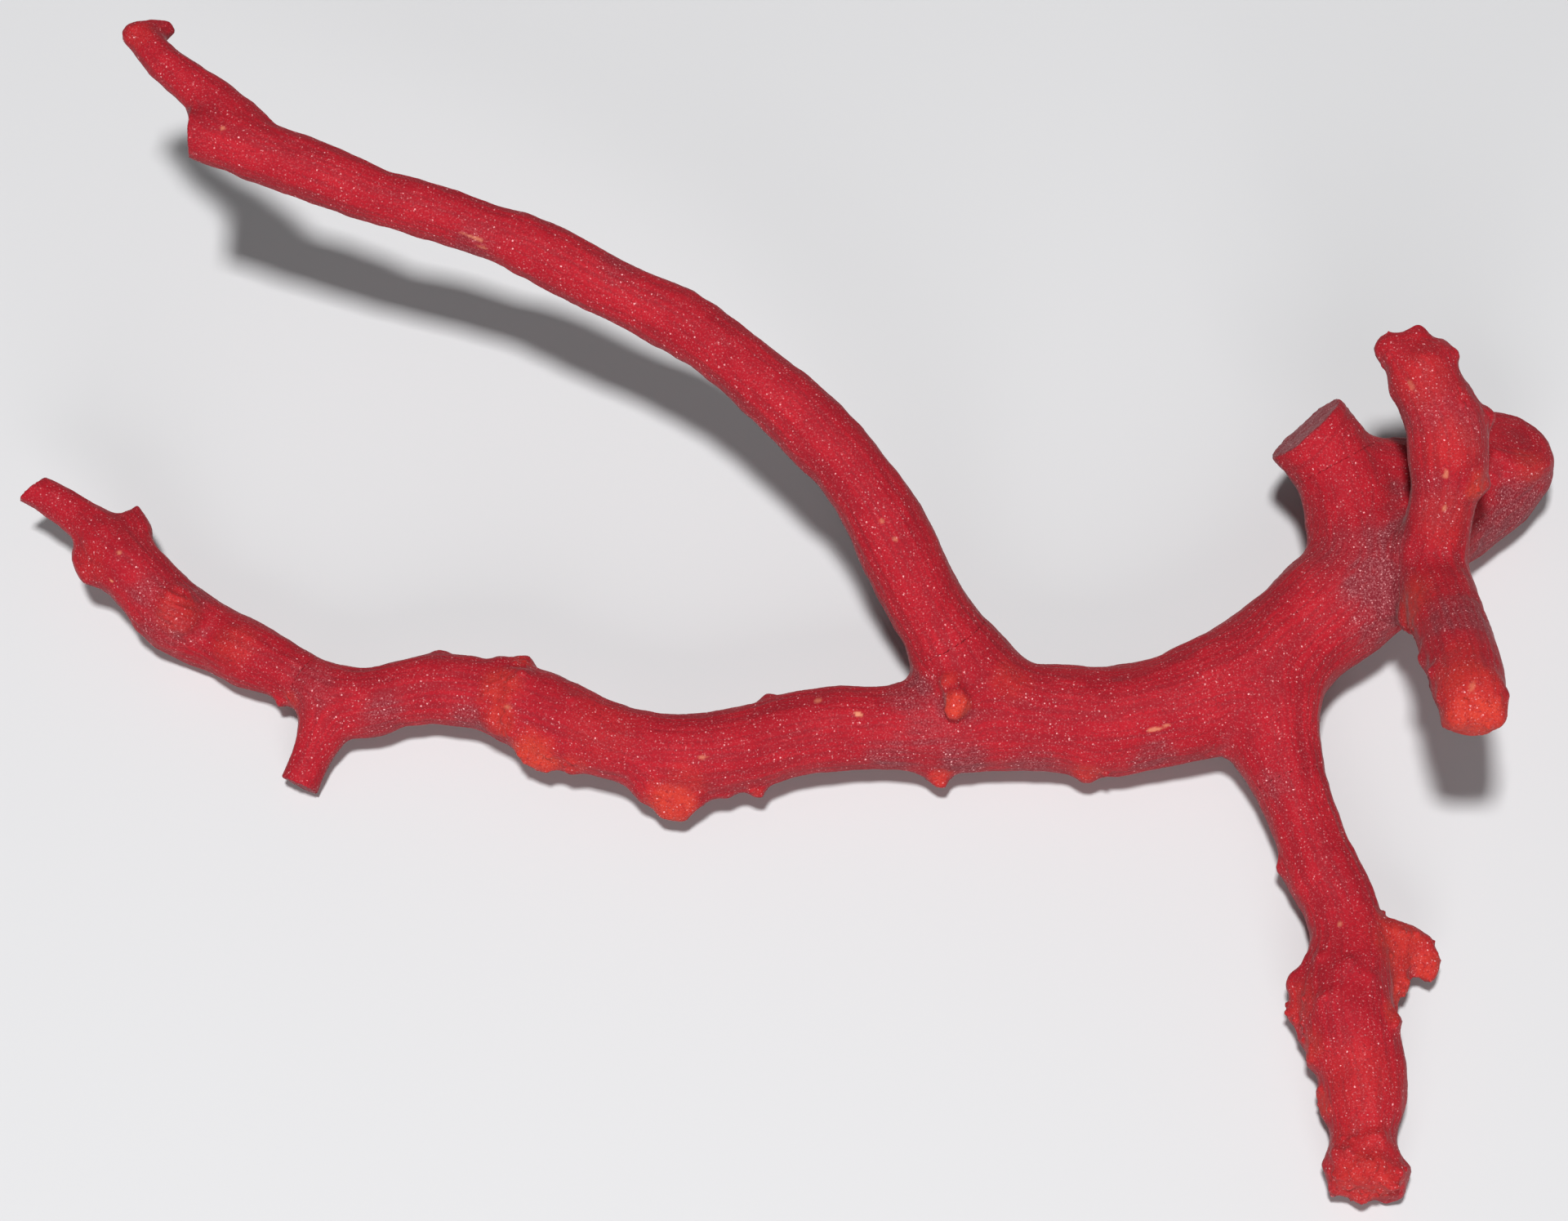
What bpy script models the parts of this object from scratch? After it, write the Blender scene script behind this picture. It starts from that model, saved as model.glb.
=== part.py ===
"""A twig of red coral, broken from its colony and lying on a table.

Metres, +Z up. The origin is the middle of the twig's box, on the table. +X runs from the thin left end
to the thick right end, and +Y points away from the viewer. The twig is one grown piece, parted at its
main forks so that each limb is a solid of its own.
"""

import math
import random

import bmesh
import bpy
from mathutils import Matrix, Quaternion, Vector

MM = 0.001

# The places below are read from a picture of the twig, taken from in front and above.
# A place is a pixel across and a pixel down, with a real height over the table in millimetres.
PICTURE_MIDDLE_PX = (960.0, 747.5)
PIXELS_PER_MM = 20.0
LENS_DISTANCE = 250 * MM
LENS_ELEVATION = math.radians(62)

# A limb's tube: quarter-turn segments round it, and rings from one place to the next
TUBE_SEGMENTS = 5
TUBE_RINGS = 6
MERGE_DISTANCE = 0.001 * MM
LUMP_ROUNDNESS = 2

# The surface before it is faceted
VOXEL = 0.3 * MM
SMOOTHING_STRENGTH = 0.5
FORK_SMOOTHING = 14
CRUST_SMOOTHING = 2
SWELLING = 0.3 * MM
SWELLING_LENGTH = 4 * MM
TRIANGLES_WANTED = 7900
SHARP_EDGE = math.radians(50)

# The gap at a fork
GAP = 0.3 * MM
# How far a limb is grown past its flat end, before the end is cut
OVERGROWTH = 1.2 * MM
# How far the table's level is let into the lowest places, which gives each a small flat to stand on
FLAT_DEPTH = 0.3 * MM

# Each limb is a line of places: across, down, height in mm, thickness in mm
STEM = (
    (39, 599, 5.6, 2.4),
    (85, 625, 5.3, 2.4),
    (118, 650, 5.2, 3.2),
    (140, 678, 5.0, 4.3),
    (172, 708, 4.4, 4.2),
    (213, 752, 3.2, 4.6),
    (250, 775, 2.1, 4.5),
    (310, 803, 2.8, 4.1),
    (366, 829, 3.1, 3.5),
    (402, 850, 3.3, 4.0),
    (440, 860, 3.3, 4.4),
    (490, 850, 3.4, 4.1),
    (545, 845, 3.6, 4.4),
    (600, 852, 3.8, 4.5),
    (650, 868, 4.1, 5.0),
    (700, 889, 4.3, 5.0),
    (760, 910, 4.3, 4.6),
    (830, 922, 4.1, 4.7),
    (900, 919, 4.0, 5.1),
    (960, 903, 3.9, 5.0),
    (1020, 893, 3.8, 5.1),
    (1090, 891, 3.8, 5.3),
    (1160, 888, 3.8, 5.8),
    (1230, 880, 3.8, 6.2),
    (1300, 878, 3.9, 6.6),
    (1350, 883, 4.0, 6.7),
    (1410, 875, 4.2, 6.7),
    (1470, 857, 4.5, 7.1),
    (1540, 825, 4.9, 7.5),
    (1594, 776, 5.4, 7.1),
    (1645, 734, 6.1, 7.5),
    (1700, 697, 6.8, 6.4),
)
LEFT_STUB = (
    (408, 855, 3.3, 4.0),
    (397, 890, 2.7, 3.3),
    (382, 925, 1.9, 2.6),
    (365, 962, 1.25, 2.6),
)
UPPER_NUB = (
    (135, 678, 5.0, 3.0),
    (162, 648, 5.2, 2.2),
    (182, 634, 5.3, 1.9),
)
LOWER_NUB = (
    (145, 678, 5.0, 3.0),
    (112, 700, 4.9, 2.0),
    (93, 707, 4.8, 1.8),
)
LONG_BRANCH = (
    (230, 165, 19.5, 2.7),
    (285, 176, 19.1, 3.6),
    (330, 191, 18.8, 3.9),
    (384, 210, 18.3, 3.8),
    (457, 238, 17.7, 3.5),
    (531, 260, 17.1, 3.5),
    (600, 284, 16.6, 3.4),
    (655, 305, 16.2, 3.9),
    (722, 340, 15.6, 3.9),
    (795, 376, 15.0, 3.9),
    (855, 408, 14.6, 4.0),
    (910, 450, 14.3, 4.0),
    (962, 492, 13.9, 4.3),
    (1003, 532, 13.4, 4.5),
    (1047, 583, 12.6, 4.3),
    (1078, 629, 11.6, 4.6),
    (1103, 678, 10.2, 4.8),
    (1126, 722, 8.8, 4.8),
    (1152, 768, 7.0, 5.2),
    (1178, 815, 5.4, 6.4),
    (1205, 865, 4.4, 7.2),
)
LONG_TIP = (
    (170, 42, 19.3, 2.2),
    (200, 76, 19.5, 2.5),
    (232, 103, 19.4, 2.7),
    (268, 131, 19.2, 3.1),
    (318, 176, 18.9, 3.3),
)
LOWER_BRANCH = (
    (1550, 862, 4.7, 7.0),
    (1563, 915, 4.3, 5.6),
    (1584, 970, 4.0, 4.5),
    (1602, 1020, 3.7, 4.3),
    (1619, 1067, 3.4, 4.7),
    (1637, 1098, 3.3, 4.4),
    (1651, 1150, 3.1, 4.7),
    (1650, 1215, 3.3, 5.3),
    (1652, 1262, 3.3, 5.6),
    (1667, 1305, 2.9, 5.2),
    (1673, 1350, 2.6, 4.9),
    (1670, 1390, 2.2, 3.9),
    (1670, 1430, 2.25, 4.6),
    (1670, 1462, 2.2, 4.2),
)
CUT_STUB = (
    (1672, 705, 6.6, 6.8),
    (1659, 650, 7.1, 6.0),
    (1647, 597, 7.8, 5.5),
    (1622, 551, 8.8, 5.4),
    (1598, 524, 9.6, 5.6),
)
SIDE_STUB = (
    (1690, 700, 6.4, 7.4),
    (1743, 642, 5.0, 7.1),
    (1797, 603, 3.7, 7.5),
    (1829, 576, 4.4, 7.0),
    (1853, 534, 6.9, 5.8),
)
WEB = (
    (1650, 580, 7.8, 4.7),
    (1692, 583, 6.9, 5.0),
    (1750, 586, 5.8, 5.0),
    (1800, 580, 5.2, 5.2),
)
UPPER_ARM = (
    (1731, 430, 17.5, 3.9),
    (1747, 470, 16.4, 4.3),
    (1770, 520, 14.8, 4.9),
    (1773, 570, 13.2, 4.8),
    (1764, 620, 11.6, 4.1),
    (1755, 668, 10.0, 4.4),
    (1728, 705, 7.6, 5.6),
)
FRONT_ARM = (
    (1808, 874, 16.6, 3.9),
    (1798, 838, 15.0, 4.3),
    (1788, 802, 13.4, 4.5),
    (1774, 762, 11.5, 4.6),
    (1758, 722, 9.6, 4.7),
    (1728, 700, 7.2, 5.6),
)
LIMBS = (
    STEM,
    LEFT_STUB,
    UPPER_NUB,
    LOWER_NUB,
    LONG_BRANCH,
    LONG_TIP,
    LOWER_BRANCH,
    CUT_STUB,
    SIDE_STUB,
    WEB,
    UPPER_ARM,
    FRONT_ARM,
)

# Lumps of dried crust, old polyp mounds and small spurs: across, down, height in mm, thickness in mm
LEFT_MOUNDS = (
    (212, 742, 4.7, 2.8),
    (224, 758, 4.4, 2.4),
    (104, 680, 5.0, 1.7),
    (345, 858, 2.6, 1.0),
    (540, 812, 3.6, 1.8),
    (180, 624, 5.3, 1.4),
)
COLLAR_LUMPS = (
    (612, 828, 4.6, 2.7),
    (614, 852, 4.9, 2.8),
    (612, 873, 4.4, 2.8),
    (618, 890, 3.4, 1.9),
    (641, 814, 4.2, 1.5),
    (656, 908, 3.6, 2.8),
    (653, 922, 3.4, 1.8),
    (668, 930, 3.4, 1.6),
    (703, 932, 3.6, 1.8),
)
STEM_SPURS = (
    (800, 955, 3.4, 3.2),
    (820, 970, 3.0, 2.8),
    (817, 988, 2.7, 1.6),
    (834, 993, 2.7, 1.6),
    (848, 970, 3.2, 2.4),
    (885, 955, 3.3, 2.6),
    (928, 970, 3.0, 1.1),
    (942, 862, 4.4, 1.5),
    (1140, 940, 2.7, 1.8),
    (1152, 956, 2.4, 1.2),
    (1331, 940, 3.0, 2.0),
)
POINTED_FLAP = (
    (1165, 838, 7.4, 1.7),
    (1172, 856, 7.7, 1.7),
    (1169, 873, 7.5, 1.2),
)
HOOKED_CRUST = (
    (1700, 1150, 3.0, 2.8),
    (1723, 1150, 2.8, 2.1),
    (1742, 1158, 2.6, 1.7),
    (1750, 1177, 2.4, 1.6),
    (1748, 1191, 2.2, 1.5),
    (1705, 1180, 2.8, 2.0),
    (1714, 1206, 2.6, 1.6),
    (1706, 1236, 2.6, 1.2),
)
LOWER_LUMPS = (
    (1572, 1060, 3.2, 1.4),
    (1597, 1207, 2.8, 2.0),
    (1597, 1240, 2.6, 2.0),
    (1607, 1272, 2.5, 1.7),
    (1622, 1340, 2.2, 1.2),
    (1626, 1362, 2.2, 1.2),
    (1630, 1425, 2.2, 1.4),
    (1636, 1455, 2.0, 1.4),
    (1668, 1468, 2.0, 1.0),
    (1704, 1452, 2.0, 1.6),
    (1717, 1434, 2.2, 1.3),
)
LONG_TIP_LUMPS = (
    (168, 44, 19.5, 2.0),
    (187, 40, 19.0, 1.8),
    (202, 37, 18.8, 1.5),
    (188, 57, 19.2, 1.9),
)
ARM_LUMPS = (
    (1701, 428, 17.2, 2.2),
    (1716, 430, 17.3, 2.4),
    (1737, 408, 17.6, 1.3),
    (1756, 446, 17.0, 2.0),
    (1793, 480, 15.8, 1.5),
    (1814, 512, 14.6, 1.9),
    (1810, 592, 12.6, 1.6),
    (1735, 754, 9.2, 2.8),
    (1752, 806, 13.2, 1.6),
    (1832, 878, 16.6, 1.7),
    (1786, 878, 16.6, 1.8),
)
LUMPS = (
    LEFT_MOUNDS
    + COLLAR_LUMPS
    + STEM_SPURS
    + POINTED_FLAP
    + HOOKED_CRUST
    + LOWER_LUMPS
    + LONG_TIP_LUMPS
    + ARM_LUMPS
)

# Ragged crust: the limb, the stretch of its places that it covers, and how many crumbs
CRUSTS = (
    (LOWER_BRANCH, 6.5, 8.6, 20),
    (LOWER_BRANCH, 11.4, 13.0, 28),
    (UPPER_ARM, 0.0, 1.3, 14),
    (FRONT_ARM, 0.0, 1.2, 14),
    (STEM, 13.6, 15.2, 14),
)
CRUMB_THICKNESS = (0.5, 1.0)
CRUMB_SEED = 3

# Where a limb was broken off flat: the limb, which end of its line, the breadth of the break in mm,
# and how many degrees the break is turned to the left in the picture
FLAT_ENDS = (
    (STEM, 0, 5.0, -20),
    (LEFT_STUB, -1, 5.0, 0),
    (UPPER_NUB, -1, 3.0, 0),
    (LOWER_NUB, -1, 3.0, 0),
    (LONG_BRANCH, 0, 3.3, 9),
    (CUT_STUB, -1, 9.0, 0),
)

# Where the twig is parted: the limb, how far along its places, and the breadth of the cut in mm
FORK_CUTS = (
    (STEM, 8.3, 6.5),
    (LEFT_STUB, 1.1, 5.5),
    (STEM, 20.8, 9.0),
    (LONG_BRANCH, 18.3, 9.0),
    (STEM, 29.0, 12.0),
    (LOWER_BRANCH, 1.8, 9.0),
    (CUT_STUB, 2.6, 9.0),
    (SIDE_STUB, 1.9, 15.0),
    (UPPER_ARM, 3.7, 6.6),
    (FRONT_ARM, 2.9, 7.0),
)

# Each solid's name, and a place inside it
SOLIDS = (
    ("left_branch", STEM, 5),
    ("left_stub", LEFT_STUB, 2.4),
    ("outer_stem", STEM, 15),
    ("main_stem", STEM, 25),
    ("trunk", STEM, 30),
    ("long_branch", LONG_BRANCH, 10),
    ("lower_branch", LOWER_BRANCH, 7),
    ("cut_stub", CUT_STUB, 3),
    ("side_stub", SIDE_STUB, 3),
    ("upper_arm", UPPER_ARM, 2),
    ("front_arm", FRONT_ARM, 1),
)

CORAL_RED = (0.50, 0.018, 0.025, 1.0)
CORAL_ROUGHNESS = 0.62


def seen_at(across, down, height):
    """The place at this height, in mm, that shows at a pixel, from the table spot in the picture's middle."""
    forward = Vector((0, math.cos(LENS_ELEVATION), -math.sin(LENS_ELEVATION)))
    up = Vector((0, math.sin(LENS_ELEVATION), math.cos(LENS_ELEVATION)))
    lens = -forward * LENS_DISTANCE
    right_shift = (across - PICTURE_MIDDLE_PX[0]) / PIXELS_PER_MM * MM
    up_shift = (PICTURE_MIDDLE_PX[1] - down) / PIXELS_PER_MM * MM
    ray = forward * LENS_DISTANCE + Vector((right_shift, 0, 0)) + up * up_shift
    return lens + ray * ((height * MM - lens.z) / ray.z)


def along(limb, position):
    """The place, the direction and the thickness at a position along a limb's places."""
    first = min(int(position), len(limb) - 2)
    share = position - first
    a, b = limb[first], limb[first + 1]
    start, end = seen_at(*a[:3]), seen_at(*b[:3])
    thickness = (a[3] * (1 - share) + b[3] * share) * MM
    return start.lerp(end, share), (end - start).normalized(), thickness


def grown_past(limb, end):
    """The limb's places as points, with the broken end grown on a little so that it can be cut flat."""
    points = [seen_at(*place[:3]) for place in limb]
    neighbour = points[1] if end == 0 else points[-2]
    points[end] = points[end] + (points[end] - neighbour).normalized() * OVERGROWTH
    return points


def limb_mesh(limb):
    """One limb as a closed round tube of changing thickness."""
    ends = [end for broken, end, *_ in FLAT_ENDS if broken is limb]
    points = grown_past(limb, ends[0]) if ends else [seen_at(*place[:3]) for place in limb]
    curve = bpy.data.curves.new("limb", "CURVE")
    curve.dimensions = "3D"
    curve.bevel_depth = 1.0
    curve.bevel_resolution = TUBE_SEGMENTS
    curve.resolution_u = TUBE_RINGS
    curve.use_fill_caps = True
    spline = curve.splines.new("BEZIER")
    spline.radius_interpolation = "CARDINAL"
    spline.bezier_points.add(len(points) - 1)
    for knot, point, place in zip(spline.bezier_points, points, limb):
        knot.co = point
        knot.radius = place[3] * MM / 2
        knot.handle_left_type = "AUTO"
        knot.handle_right_type = "AUTO"
    tube = bpy.data.objects.new("limb", curve)
    mesh = bpy.data.meshes.new_from_object(tube)
    bpy.data.objects.remove(tube)
    return mesh


def limbs():
    """All limbs in one mesh, still passing through each other."""
    bm = bmesh.new()
    for limb in LIMBS:
        bm.from_mesh(limb_mesh(limb))
    bmesh.ops.remove_doubles(bm, verts=bm.verts, dist=MERGE_DISTANCE)
    bmesh.ops.recalc_face_normals(bm, faces=bm.faces)
    return bm


def crumb_places():
    """The middle and thickness of each crumb of the ragged crusts."""
    chance = random.Random(CRUMB_SEED)
    for limb, first, last, count in CRUSTS:
        for _ in range(count):
            centre, direction, thickness = along(limb, chance.uniform(first, last))
            outward = direction.orthogonal().normalized()
            outward.rotate(Quaternion(direction, chance.uniform(0, math.tau)))
            crumb = chance.uniform(*CRUMB_THICKNESS) * MM
            yield centre + outward * (thickness / 2), crumb


def add_lumps(bm):
    """A ball for each lump and crumb."""
    lumps = [(seen_at(*place[:3]), place[3] * MM) for place in LUMPS]
    for middle, thickness in (*lumps, *crumb_places()):
        where = Matrix.Translation(middle)
        bmesh.ops.create_icosphere(bm, subdivisions=LUMP_ROUNDNESS, radius=thickness / 2, matrix=where)


def fused(bm, rounds):
    """The shapes in a mesh grown together as one skin, and smoothed."""
    mesh = bpy.data.meshes.new("rough")
    bm.to_mesh(mesh)
    bm.free()
    rough = bpy.data.objects.new("rough", mesh)
    bpy.context.collection.objects.link(rough)
    fuse = rough.modifiers.new("fuse", "REMESH")
    fuse.mode = "VOXEL"
    fuse.voxel_size = VOXEL
    smooth = rough.modifiers.new("smooth", "SMOOTH")
    smooth.factor = SMOOTHING_STRENGTH
    smooth.iterations = rounds
    bpy.context.view_layer.update()
    skin = bmesh.new()
    skin.from_object(rough, bpy.context.evaluated_depsgraph_get())
    bpy.data.objects.remove(rough)
    return skin


def block(name, centre, direction, sides):
    """A box centred on a place, with its own Z along a direction: a cutter."""
    bm = bmesh.new()
    bmesh.ops.create_cube(bm, size=1.0)
    turn = direction.to_track_quat("Z", "Y").to_matrix().to_4x4()
    bm.transform(Matrix.Translation(centre) @ turn @ Matrix.Diagonal((*sides, 1.0)))
    mesh = bpy.data.meshes.new(name)
    bm.to_mesh(mesh)
    bm.free()
    cutter = bpy.data.objects.new(name, mesh)
    cutter.hide_render = True
    cutter.display_type = "WIRE"
    return cutter


def fork_saws():
    """A thin plate across each fork."""
    for limb, position, breadth in FORK_CUTS:
        centre, direction, thickness = along(limb, position)
        yield block("saw", centre, direction, (breadth * MM, breadth * MM, GAP))


def end_blocks():
    """A block just past each flat broken end."""
    towards_lens = Vector((0, -math.cos(LENS_ELEVATION), math.sin(LENS_ELEVATION)))
    for limb, end, breadth, turn in FLAT_ENDS:
        tip = seen_at(*limb[end][:3])
        neighbour = seen_at(*(limb[1] if end == 0 else limb[-2])[:3])
        outward = (tip - neighbour).normalized()
        outward.rotate(Quaternion(towards_lens, math.radians(turn)))
        size = breadth * MM
        yield block("end", tip + outward * size / 2, outward, (size, size, size))


def parted_twig():
    """The whole twig, swollen unevenly, faceted, and cut at its broken ends and forks."""
    skin = fused(limbs(), FORK_SMOOTHING)
    add_lumps(skin)
    skin = fused(skin, CRUST_SMOOTHING)
    mesh = bpy.data.meshes.new("twig")
    skin.to_mesh(mesh)
    skin.free()
    twig = bpy.data.objects.new("twig", mesh)
    bpy.context.collection.objects.link(twig)
    cutters = bpy.data.collections.new("cutters")
    bpy.context.scene.collection.children.link(cutters)
    for cutter in (*fork_saws(), *end_blocks()):
        cutters.objects.link(cutter)
    growth = bpy.data.textures.new("uneven growth", "CLOUDS")
    growth.noise_scale = SWELLING_LENGTH
    swell = twig.modifiers.new("swell", "DISPLACE")
    swell.texture = growth
    swell.strength = SWELLING
    swell.mid_level = 0.5
    facet = twig.modifiers.new("facet", "DECIMATE")
    facet.ratio = TRIANGLES_WANTED / (2 * len(mesh.polygons))
    cut = twig.modifiers.new("cut", "BOOLEAN")
    cut.operand_type = "COLLECTION"
    cut.collection = cutters
    cut.solver = "EXACT"
    bpy.context.view_layer.update()
    bm = bmesh.new()
    bm.from_object(twig, bpy.context.evaluated_depsgraph_get())
    for helper in (twig, *cutters.objects):
        bpy.data.objects.remove(helper)
    return bm


def settle(bm):
    """Trim the lowest places level with the table, and put the middle of the box on the origin."""
    level = min(vert.co.z for vert in bm.verts) + FLAT_DEPTH
    geometry = bm.verts[:] + bm.edges[:] + bm.faces[:]
    bmesh.ops.bisect_plane(
        bm, geom=geometry, plane_co=(0, 0, level), plane_no=(0, 0, -1), clear_outer=True
    )
    bmesh.ops.holes_fill(bm, edges=[edge for edge in bm.edges if edge.is_boundary], sides=0)
    low = [min(vert.co[axis] for vert in bm.verts) for axis in range(3)]
    high = [max(vert.co[axis] for vert in bm.verts) for axis in range(3)]
    shift = Vector((-(low[0] + high[0]) / 2, -(low[1] + high[1]) / 2, -level))
    bmesh.ops.translate(bm, vec=shift, verts=bm.verts)
    return shift


def islands(bm):
    """The groups of vertices that hang together."""
    left = set(bm.verts)
    while left:
        group, front = set(), [left.pop()]
        while front:
            vert = front.pop()
            group.add(vert)
            for edge in vert.link_edges:
                other = edge.other_vert(vert)
                if other in left:
                    left.remove(other)
                    front.append(other)
        yield group


def coral_material(name):
    """The twig's dull red, for one solid."""
    material = bpy.data.materials.new(name)
    material.use_nodes = True
    shader = material.node_tree.nodes["Principled BSDF"]
    shader.inputs["Base Color"].default_value = CORAL_RED
    shader.inputs["Roughness"].default_value = CORAL_ROUGHNESS
    shader.inputs["Metallic"].default_value = 0.0
    return material


def solid_object(name, bm, group):
    """One group of vertices as an object of its own."""
    piece = bmesh.new()
    twin = {vert: piece.verts.new(vert.co) for vert in sorted(group, key=lambda vert: vert.index)}
    for face in bm.faces:
        if face.verts[0] in group:
            piece.faces.new([twin[vert] for vert in face.verts])
    bmesh.ops.triangulate(piece, faces=piece.faces)
    mesh = bpy.data.meshes.new(name)
    piece.to_mesh(mesh)
    piece.free()
    mesh.shade_smooth()
    mesh.set_sharp_from_angle(angle=SHARP_EDGE)
    mesh.materials.append(coral_material(f"{name} coral"))
    bpy.context.collection.objects.link(bpy.data.objects.new(name, mesh))


def main():
    for old in list(bpy.data.objects):
        bpy.data.objects.remove(old)
    bm = parted_twig()
    shift = settle(bm)
    bm.verts.index_update()
    groups = list(islands(bm))
    for name, limb, position in SOLIDS:
        inside = along(limb, position)[0] + shift
        group = min(groups, key=lambda verts: min((vert.co - inside).length for vert in verts))
        groups.remove(group)
        solid_object(name, bm, group)
    if groups:
        raise RuntimeError(f"pieces with no name, of so many corners: {[len(group) for group in groups]}")
    bm.free()
    print("moved from the picture's middle, in mm:", [round(step / MM, 2) for step in shift])


main()
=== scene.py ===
"""The looks of a loose twig of red coral: a grooved, crusted skin over its solids, and a plain studio.

Everything is in metres, in the solids' own frame: +X to the right, +Y away from the viewer, +Z up.
"""

import math

import bmesh
import bpy
import numpy as np
from bpy.props import FloatProperty, FloatVectorProperty, IntProperty, PointerProperty
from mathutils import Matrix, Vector
from mathutils.bvhtree import BVHTree
from mathutils.kdtree import KDTree


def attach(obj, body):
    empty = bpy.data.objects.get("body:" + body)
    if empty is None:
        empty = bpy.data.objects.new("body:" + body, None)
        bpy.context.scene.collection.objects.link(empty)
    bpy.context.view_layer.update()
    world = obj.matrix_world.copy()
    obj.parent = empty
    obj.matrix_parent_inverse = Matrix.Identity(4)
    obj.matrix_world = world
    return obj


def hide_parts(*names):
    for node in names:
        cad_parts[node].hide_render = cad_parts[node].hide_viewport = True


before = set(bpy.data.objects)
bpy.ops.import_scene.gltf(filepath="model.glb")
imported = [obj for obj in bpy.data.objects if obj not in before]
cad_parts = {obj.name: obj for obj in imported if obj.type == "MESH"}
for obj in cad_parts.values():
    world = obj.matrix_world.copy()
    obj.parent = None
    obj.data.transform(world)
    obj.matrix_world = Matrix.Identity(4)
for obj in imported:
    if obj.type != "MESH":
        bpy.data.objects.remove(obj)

bl_info = {
    "name": "Red Coral Twig",
    "version": (1, 0, 0),
    "blender": (4, 5, 0),
    "location": "View3D > Sidebar > Coral",
    "description": "Grows the grooved and crusted skin of a red coral twig, and sets up a studio",
    "category": "Object",
}

MM = 0.001
LIMBS = sorted(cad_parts)
SKIN_NAME = "coral_skin"
MATERIAL_NAME = "red_coral"
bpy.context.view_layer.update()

# The picture that the twig's places are read from, and the lens that took it
PICTURE_WIDTH_PX = 1920
PICTURE_HEIGHT_PX = 1495
PIXELS_PER_MM = 20.0
LENS_DISTANCE = 250 * MM
LENS_ELEVATION = math.radians(62)
PICTURE_SPOT = Vector((-0.22, 4.25, -0.08)) * MM
SENSOR_WIDTH_MM = 36.0

# Where the lights are: one nearly overhead, and a wide one towards the viewer
KEY_WAY = Vector((-0.05, -0.20, 1.0))
FRONT_WAY = Vector((0.0, -0.90, 0.40))
FILL_COLOUR = (0.96, 0.98, 1.0, 1.0)

# The floor, and the nearest thing that the camera shows
FLOOR_HALF = 0.8
FLOOR_DEPTH = 0.02 * MM
FLOOR_ROUGHNESS = 0.8
FLOOR_SHINE = 0.2
NEAREST_SHOWN = 0.01

# The flat broken ends: the limb and a place in pixels near the end, and how far a rim holds the skin sharp
BROKEN_ENDS = (
    ("cut_stub", 1596, 528),
    ("left_branch", 42, 604),
    ("left_stub", 372, 958),
    ("long_branch", 240, 170),
)
END_REACH = 2.5 * MM
FLATNESS = 0.01 * MM
FLAT_TURN = 1e-4
RIM_HELD = 0.3 * MM
RIM_FREE = 1.1 * MM

# A broken face fades out over these heights and these turns away from it. It is this crumbly and this dusty.
BREAK_FADE = (0.15 * MM, 0.35 * MM)
BREAK_TURN = (0.6, 0.9)
BREAK_CRUMBLY = 0.35
BREAK_DUST = 0.75

# Where the solids' lumps are smoothed over: across and down in pixels, reach in mm, and how strongly
SMOOTH_SPOTS = (
    (1724, 434, 3.2, 0.3),
    (1752, 456, 2.4, 0.3),
    (1806, 812, 2.8, 1.0),
    (1808, 870, 3.2, 0.4),
    (1205, 768, 3.4, 1.0),
    (1250, 805, 2.2, 0.6),
    (1240, 846, 2.4, 0.4),
    (656, 918, 1.0, 0.3),
    (184, 642, 2.0, 0.8),
    (98, 712, 1.7, 0.7),
)
SPOT_SMOOTHING = 100

# Dried crust: across and down in pixels, reach in mm, how crumbly it is, and how orange
CRUST_PATCHES = (
    (110, 690, 1.6, 0.0, 0.15),
    (214, 748, 1.7, 0.0, 0.35),
    (285, 790, 1.7, 0.0, 0.3),
    (612, 842, 1.6, 0.2, 0.55),
    (612, 880, 1.4, 0.3, 0.6),
    (641, 812, 0.9, 0.4, 0.4),
    (655, 925, 1.9, 0.15, 1.0),
    (703, 938, 1.2, 0.2, 0.4),
    (735, 892, 2.6, 0.0, 0.12),
    (822, 988, 2.0, 0.2, 0.95),
    (840, 960, 1.7, 0.0, 0.3),
    (929, 971, 0.6, 0.4, 0.35),
    (1151, 956, 0.9, 0.4, 0.6),
    (1331, 946, 1.2, 0.2, 0.4),
    (1170, 864, 1.2, 0.1, 1.0),
    (1163, 832, 0.8, 0.1, 0.5),
    (1236, 832, 1.5, 0.0, 0.3),
    (1718, 1158, 2.6, 0.25, 0.6),
    (1750, 1184, 1.3, 0.3, 0.75),
    (1712, 1212, 1.4, 0.5, 0.7),
    (1704, 1242, 0.9, 0.5, 0.5),
    (1592, 1230, 1.9, 0.2, 0.35),
    (1604, 1282, 1.4, 0.3, 0.45),
    (1619, 1350, 1.1, 0.4, 0.5),
    (1664, 1320, 3.0, 0.0, 0.2),
    (1665, 1400, 2.6, 0.1, 0.22),
    (1672, 1452, 2.7, 0.6, 0.45),
    (1722, 428, 2.4, 0.1, 0.08),
    (1740, 468, 2.2, 0.0, 0.22),
    (1774, 545, 2.2, 0.0, 0.22),
    (1768, 632, 2.0, 0.0, 0.22),
    (1788, 480, 0.9, 0.4, 0.1),
    (1810, 594, 1.2, 0.2, 0.75),
    (1727, 742, 2.2, 0.1, 0.6),
    (1808, 884, 2.6, 0.15, 1.0),
    (1797, 838, 2.5, 0.0, 0.55),
    (1768, 836, 1.6, 0.0, 0.4),
    # This patch is painted light: its orange brightens the front arm's top, which the lamps leave darker.
    (1788, 800, 1.8, 0.0, 0.25),
    (1875, 568, 1.3, 0.0, 0.35),
    (168, 42, 1.1, 0.0, 0.2),
    (357, 858, 0.7, 0.4, 0.35),
)
PATCH_EDGE_LENGTH = 0.8 * MM
PATCH_EDGE_SHIFT = 0.35 * MM
PATCH_FADE = (0.4, 1.15)

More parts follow.
